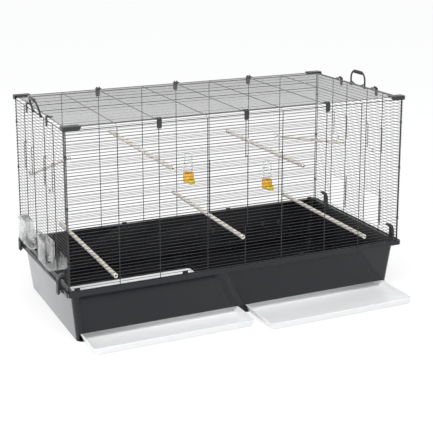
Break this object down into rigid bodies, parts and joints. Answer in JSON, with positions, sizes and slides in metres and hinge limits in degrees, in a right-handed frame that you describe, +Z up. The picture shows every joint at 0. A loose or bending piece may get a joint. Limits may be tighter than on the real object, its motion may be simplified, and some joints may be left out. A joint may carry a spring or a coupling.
{
  "type": "bird cage",
  "caption": "Large rectangular wire bird cage on a deep plastic tub with pull-out trays, hinged wire doors, side latches, carrying handles, perches, feeders and drinkers.",
  "frame": {"origin": "on the ground, under the middle of the tub", "axes": "+Z up, +Y towards the back, +X towards the right seen from the front"},
  "size_m": [1.3005, 0.75, 0.7369],
  "materials": {
    "tub_plastic": "dark grey injection-moulded plastic, polished",
    "tray_plastic": "white injection-moulded plastic, smooth",
    "coated_wire": "steel wire with a black baked coating",
    "trim_plastic": "dark grey moulded plastic, fine matt grain",
    "pin_steel": "bright wire",
    "perch_plastic": "beige plastic with brown mottled bands",
    "thin_perch_plastic": "beige plastic, fine grooves",
    "clear_plastic": "clear moulded plastic",
    "fountain_plastic": "warm yellow moulded plastic"
  },
  "bodies": {
    "cage": {"base_tub": "tub_plastic", "front_panel": "coated_wire", "back_panel": "coated_wire", "left_panel": "coated_wire", "right_panel": "coated_wire", "roof_panel": "coated_wire", "edge_clips": "trim_plastic", "corner_clip_front_left": "trim_plastic", "corner_clip_front_right": "trim_plastic", "corner_clip_back_left": "trim_plastic", "corner_clip_back_right": "trim_plastic", "corner_ties": "trim_plastic", "latch_pins": "pin_steel", "perch_low_left": "perch_plastic", "perch_low_middle": "perch_plastic", "perch_low_right": "perch_plastic", "perch_high_left": "perch_plastic", "perch_high_right": "perch_plastic", "corner_perch_left": "thin_perch_plastic", "corner_perch_right": "thin_perch_plastic", "corner_perch_holders": "clear_plastic", "fountain_tank_left": "clear_plastic", "fountain_tank_right": "clear_plastic", "fountain_bowl_left": "fountain_plastic", "fountain_bowl_right": "fountain_plastic"},
    "tray_left": {"tray_left": "tray_plastic"},
    "tray_right": {"tray_right": "tray_plastic"},
    "front_door": {"front_door": "coated_wire", "front_door_catches": "coated_wire"},
    "nest_door_left_front": {"nest_door_left_front": "coated_wire"},
    "nest_door_left_rear": {"nest_door_left_rear": "coated_wire"},
    "nest_door_right_front": {"nest_door_right_front": "coated_wire"},
    "nest_door_right_rear": {"nest_door_right_rear": "coated_wire"},
    "feeder_hatch_front": {"feeder_hatch_front": "coated_wire"},
    "feeder_hatch_rear": {"feeder_hatch_rear": "coated_wire"},
    "feeder_front": {"feeder_body_front": "clear_plastic"},
    "feeder_lid_front": {"feeder_lid_front": "clear_plastic"},
    "feeder_rear": {"feeder_body_rear": "clear_plastic"},
    "feeder_lid_rear": {"feeder_lid_rear": "clear_plastic"},
    "latch_left_front": {"latch_left_front": "trim_plastic"},
    "latch_left_rear": {"latch_left_rear": "trim_plastic"},
    "latch_right_front": {"latch_right_front": "trim_plastic"},
    "latch_right_rear": {"latch_right_rear": "trim_plastic"},
    "handle_left": {"handle_left": "trim_plastic"},
    "handle_right": {"handle_right": "trim_plastic"}
  },
  "joints": [
    {"name": "tray_left_slide", "type": "slide", "parent": "cage", "child": "tray_left", "axis": [0, -1, 0], "range_m": [-0.125, 0.335]},
    {"name": "tray_right_slide", "type": "slide", "parent": "cage", "child": "tray_right", "axis": [0, -1, 0], "range_m": [-0.18, 0.28]},
    {"name": "front_door_hinge", "type": "hinge", "parent": "cage", "child": "front_door", "pos_m": [0, -0.29, 0.5408], "axis": [-1, 0, 0], "range_deg": [0, 100]},
    {"name": "nest_door_left_front_hinge", "type": "hinge", "parent": "cage", "child": "nest_door_left_front", "pos_m": [-0.6, -0.1175, 0.5515], "axis": [0, 1, 0], "range_deg": [0, 100]},
    {"name": "nest_door_left_rear_hinge", "type": "hinge", "parent": "cage", "child": "nest_door_left_rear", "pos_m": [-0.6, 0.1175, 0.5515], "axis": [0, 1, 0], "range_deg": [0, 100]},
    {"name": "nest_door_right_front_hinge", "type": "hinge", "parent": "cage", "child": "nest_door_right_front", "pos_m": [0.6, -0.1175, 0.5515], "axis": [0, -1, 0], "range_deg": [0, 100]},
    {"name": "nest_door_right_rear_hinge", "type": "hinge", "parent": "cage", "child": "nest_door_right_rear", "pos_m": [0.6, 0.1175, 0.5515], "axis": [0, -1, 0], "range_deg": [0, 100]},
    {"name": "feeder_hatch_front_hinge", "type": "hinge", "parent": "cage", "child": "feeder_hatch_front", "pos_m": [0.5981, -0.167, 0.24655], "axis": [0, 0, -1], "range_deg": [-33, 55]},
    {"name": "feeder_hatch_rear_hinge", "type": "hinge", "parent": "cage", "child": "feeder_hatch_rear", "pos_m": [0.5981, 0.068, 0.24655], "axis": [0, 0, -1], "range_deg": [-33, 55]},
    {"name": "feeder_front_pull_out", "type": "slide", "parent": "cage", "child": "feeder_front", "axis": [-1, 0, 0], "range_m": [0, 0.06]},
    {"name": "feeder_lid_front_hinge", "type": "hinge", "parent": "feeder_front", "child": "feeder_lid_front", "pos_m": [-0.6046, -0.1175, 0.3013], "axis": [0, 1, 0], "range_deg": [0, 90]},
    {"name": "feeder_rear_pull_out", "type": "slide", "parent": "cage", "child": "feeder_rear", "axis": [-1, 0, 0], "range_m": [0, 0.06]},
    {"name": "feeder_lid_rear_hinge", "type": "hinge", "parent": "feeder_rear", "child": "feeder_lid_rear", "pos_m": [-0.6046, 0.1175, 0.3013], "axis": [0, 1, 0], "range_deg": [0, 90]},
    {"name": "latch_left_front_hinge", "type": "hinge", "parent": "cage", "child": "latch_left_front", "pos_m": [-0.613, -0.228, 0.167], "axis": [0, -1, 0], "range_deg": [0, 35]},
    {"name": "latch_left_rear_hinge", "type": "hinge", "parent": "cage", "child": "latch_left_rear", "pos_m": [-0.613, 0.228, 0.167], "axis": [0, -1, 0], "range_deg": [0, 35]},
    {"name": "latch_right_front_hinge", "type": "hinge", "parent": "cage", "child": "latch_right_front", "pos_m": [0.613, -0.228, 0.167], "axis": [0, 1, 0], "range_deg": [0, 35]},
    {"name": "latch_right_rear_hinge", "type": "hinge", "parent": "cage", "child": "latch_right_rear", "pos_m": [0.613, 0.228, 0.167], "axis": [0, 1, 0], "range_deg": [0, 35]},
    {"name": "handle_left_hinge", "type": "hinge", "parent": "cage", "child": "handle_left", "pos_m": [-0.6007, 0, 0.6799], "axis": [0, -1, 0], "range_deg": [-16, 134]},
    {"name": "handle_right_hinge", "type": "hinge", "parent": "cage", "child": "handle_right", "pos_m": [0.6007, 0, 0.6799], "axis": [0, 1, 0], "range_deg": [0, 150]}
  ]
}
